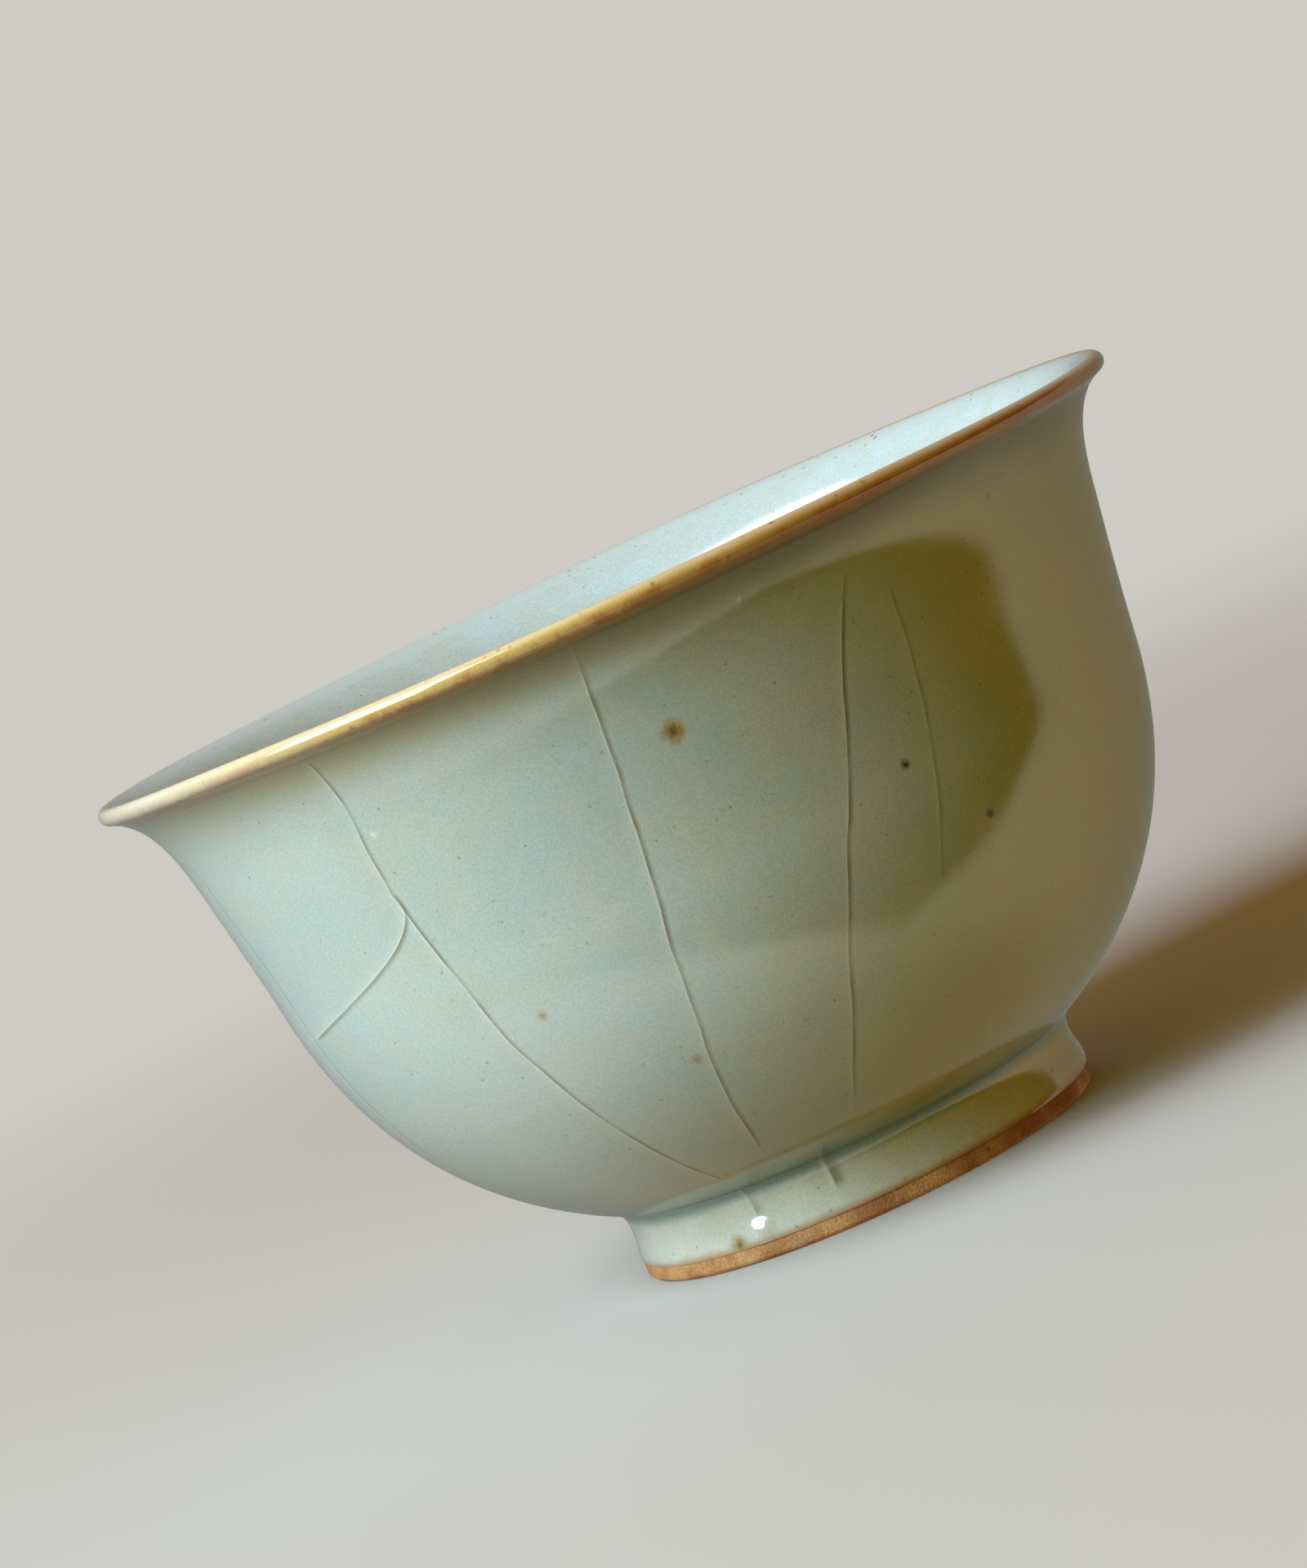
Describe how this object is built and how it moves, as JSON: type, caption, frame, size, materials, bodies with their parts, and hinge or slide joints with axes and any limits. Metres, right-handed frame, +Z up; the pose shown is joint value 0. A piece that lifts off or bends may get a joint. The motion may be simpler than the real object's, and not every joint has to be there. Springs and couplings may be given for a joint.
{
  "type": "tea cup",
  "caption": "Small round celadon tea cup with a flared iron-dressed lip, a rounded crackled bowl and a turned foot ring; one fired body.",
  "frame": {"origin": "centre of the foot's standing face, on the surface the cup stands on", "axes": "+Z up along the cup's axis of symmetry"},
  "size_m": [0.085, 0.085, 0.0513],
  "materials": {
    "clay": "bare fired stoneware, under the glaze",
    "toasted_clay": "bare stoneware toasted orange-brown where the glaze ends",
    "celadon_outside": "glossy grey-green celadon with long crackle lines and iron specks",
    "celadon_inside": "glossy pale blue-green celadon",
    "celadon_pooled": "glossy celadon, deeper and bluer where it pooled at the foot",
    "iron_lip": "glossy ochre-brown lip with dark iron specks"
  },
  "bodies": {
    "root": {"clay_bowl": "clay", "clay_foot_ring": "toasted_clay", "outer_glaze": "celadon_outside", "inner_glaze": "celadon_inside", "foot_glaze": "celadon_pooled", "foot_well_glaze": "celadon_pooled", "lip_iron_band": "iron_lip"}
  },
  "joints": []
}
